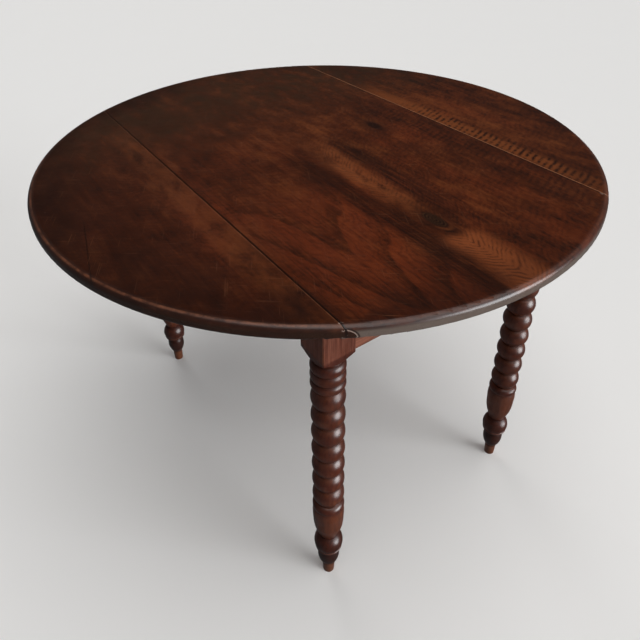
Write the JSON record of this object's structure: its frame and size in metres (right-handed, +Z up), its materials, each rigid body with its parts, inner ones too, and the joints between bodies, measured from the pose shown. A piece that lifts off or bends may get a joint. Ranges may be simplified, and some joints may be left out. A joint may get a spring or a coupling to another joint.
{
  "type": "drop-leaf table",
  "caption": "Round dark walnut drop-leaf table on bead-turned legs, with hinged half-round leaves held up by swinging wooden brackets.",
  "frame": {"origin": "on the floor, under the middle of the round top", "axes": "+Z up; Y runs along the two seams between the fixed top and the leaves; the leaves are at +X and -X"},
  "size_m": [1.08, 1.08, 0.73],
  "materials": {
    "top_walnut": "satin",
    "turned_walnut": "gloss",
    "rail_walnut": "satin",
    "inner_wood": "matte",
    "peg_wood": "satin",
    "hinge_iron": "matte",
    "pin_steel": "satin",
    "screw_steel": "satin"
  },
  "bodies": {
    "frame": {"top_board_left": "top_walnut", "top_board_right": "top_walnut", "leg_front_left": "turned_walnut", "leg_back_left": "turned_walnut", "leg_front_right": "turned_walnut", "leg_back_right": "turned_walnut", "end_rail_front": "rail_walnut", "end_rail_back": "rail_walnut", "side_rail_left": "rail_walnut", "side_rail_right": "rail_walnut", "corner_block_front_left": "inner_wood", "corner_block_back_left": "inner_wood", "corner_block_front_right": "inner_wood", "corner_block_back_right": "inner_wood", "fly_block_left": "inner_wood", "fly_block_right": "inner_wood", "bracket_pin_front_left": "pin_steel", "bracket_pin_back_left": "pin_steel", "bracket_pin_front_right": "pin_steel", "bracket_pin_back_right": "pin_steel", "tenon_pegs": "peg_wood", "hinge_frame_plates_left": "hinge_iron", "hinge_frame_plates_right": "hinge_iron", "hinge_pins_left": "pin_steel", "hinge_pins_right": "pin_steel", "hinge_frame_screws_left": "screw_steel", "hinge_frame_screws_right": "screw_steel", "corner_block_screws": "screw_steel", "fly_block_screws": "screw_steel"},
    "leaf_left": {"leaf_left": "top_walnut", "hinge_leaf_plates_left": "hinge_iron", "hinge_leaf_screws_left": "screw_steel"},
    "leaf_right": {"leaf_right": "top_walnut", "hinge_leaf_plates_right": "hinge_iron", "hinge_leaf_screws_right": "screw_steel"},
    "bracket_front_left": {"bracket_front_left": "inner_wood"},
    "bracket_back_left": {"bracket_back_left": "inner_wood"},
    "bracket_front_right": {"bracket_front_right": "inner_wood"},
    "bracket_back_right": {"bracket_back_right": "inner_wood"}
  },
  "joints": [
    {"name": "leaf_left_drop", "type": "hinge", "parent": "frame", "child": "leaf_left", "pos_m": [-0.281, 0, 0.7118], "axis": [0, -1, 0], "range_deg": [0, 90]},
    {"name": "leaf_right_drop", "type": "hinge", "parent": "frame", "child": "leaf_right", "pos_m": [0.281, 0, 0.7118], "axis": [0, 1, 0], "range_deg": [0, 90]},
    {"name": "bracket_front_left_swing", "type": "hinge", "parent": "frame", "child": "bracket_front_left", "pos_m": [-0.247, -0.105, 0.66], "axis": [0, 0, 1], "range_deg": [-90, 0]},
    {"name": "bracket_back_left_swing", "type": "hinge", "parent": "frame", "child": "bracket_back_left", "pos_m": [-0.247, 0.105, 0.66], "axis": [0, 0, -1], "range_deg": [-90, 0]},
    {"name": "bracket_front_right_swing", "type": "hinge", "parent": "frame", "child": "bracket_front_right", "pos_m": [0.247, -0.105, 0.66], "axis": [0, 0, -1], "range_deg": [-90, 0]},
    {"name": "bracket_back_right_swing", "type": "hinge", "parent": "frame", "child": "bracket_back_right", "pos_m": [0.247, 0.105, 0.66], "axis": [0, 0, 1], "range_deg": [-90, 0]}
  ]
}
